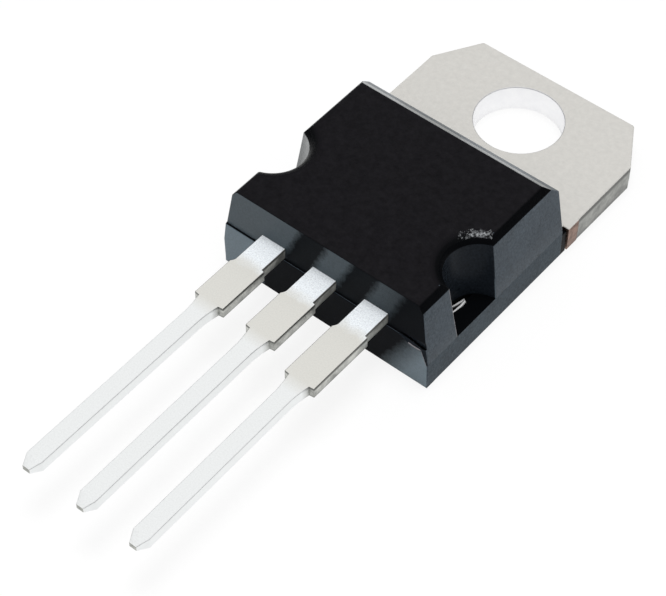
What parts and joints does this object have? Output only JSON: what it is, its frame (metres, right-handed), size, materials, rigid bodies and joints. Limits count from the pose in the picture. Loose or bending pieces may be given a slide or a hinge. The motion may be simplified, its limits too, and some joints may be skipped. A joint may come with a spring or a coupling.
{
  "type": "battery charger chip",
  "caption": "Black moulded charger chip with a drilled metal heat tab at one end and a row of flat leads at the other, stepping down from wide shoulders to narrow pins.",
  "frame": {"origin": "centre of the screw hole on the back face of the heat tab", "axes": "+X across the package, +Y along it towards the free end of the heat tab, with the leads towards -Y, +Z along the screw hole, out of the moulded top"},
  "size_m": [0.0104, 0.0292, 0.0044],
  "materials": {
    "epoxy_moulding": "matte moulded top, smoother drafted sides",
    "tinned_copper": "satin tin plate over copper",
    "silicon": "polished",
    "solder": "dull",
    "aluminium_wire": "drawn, bright"
  },
  "bodies": {
    "root": {"moulded_body": "epoxy_moulding", "heat_tab": "tinned_copper", "left_lead": "tinned_copper", "right_lead": "tinned_copper", "silicon_die": "silicon", "die_solder": "solder", "control_wire": "aluminium_wire", "power_wire_inner": "aluminium_wire", "power_wire_outer": "aluminium_wire"}
  },
  "joints": []
}
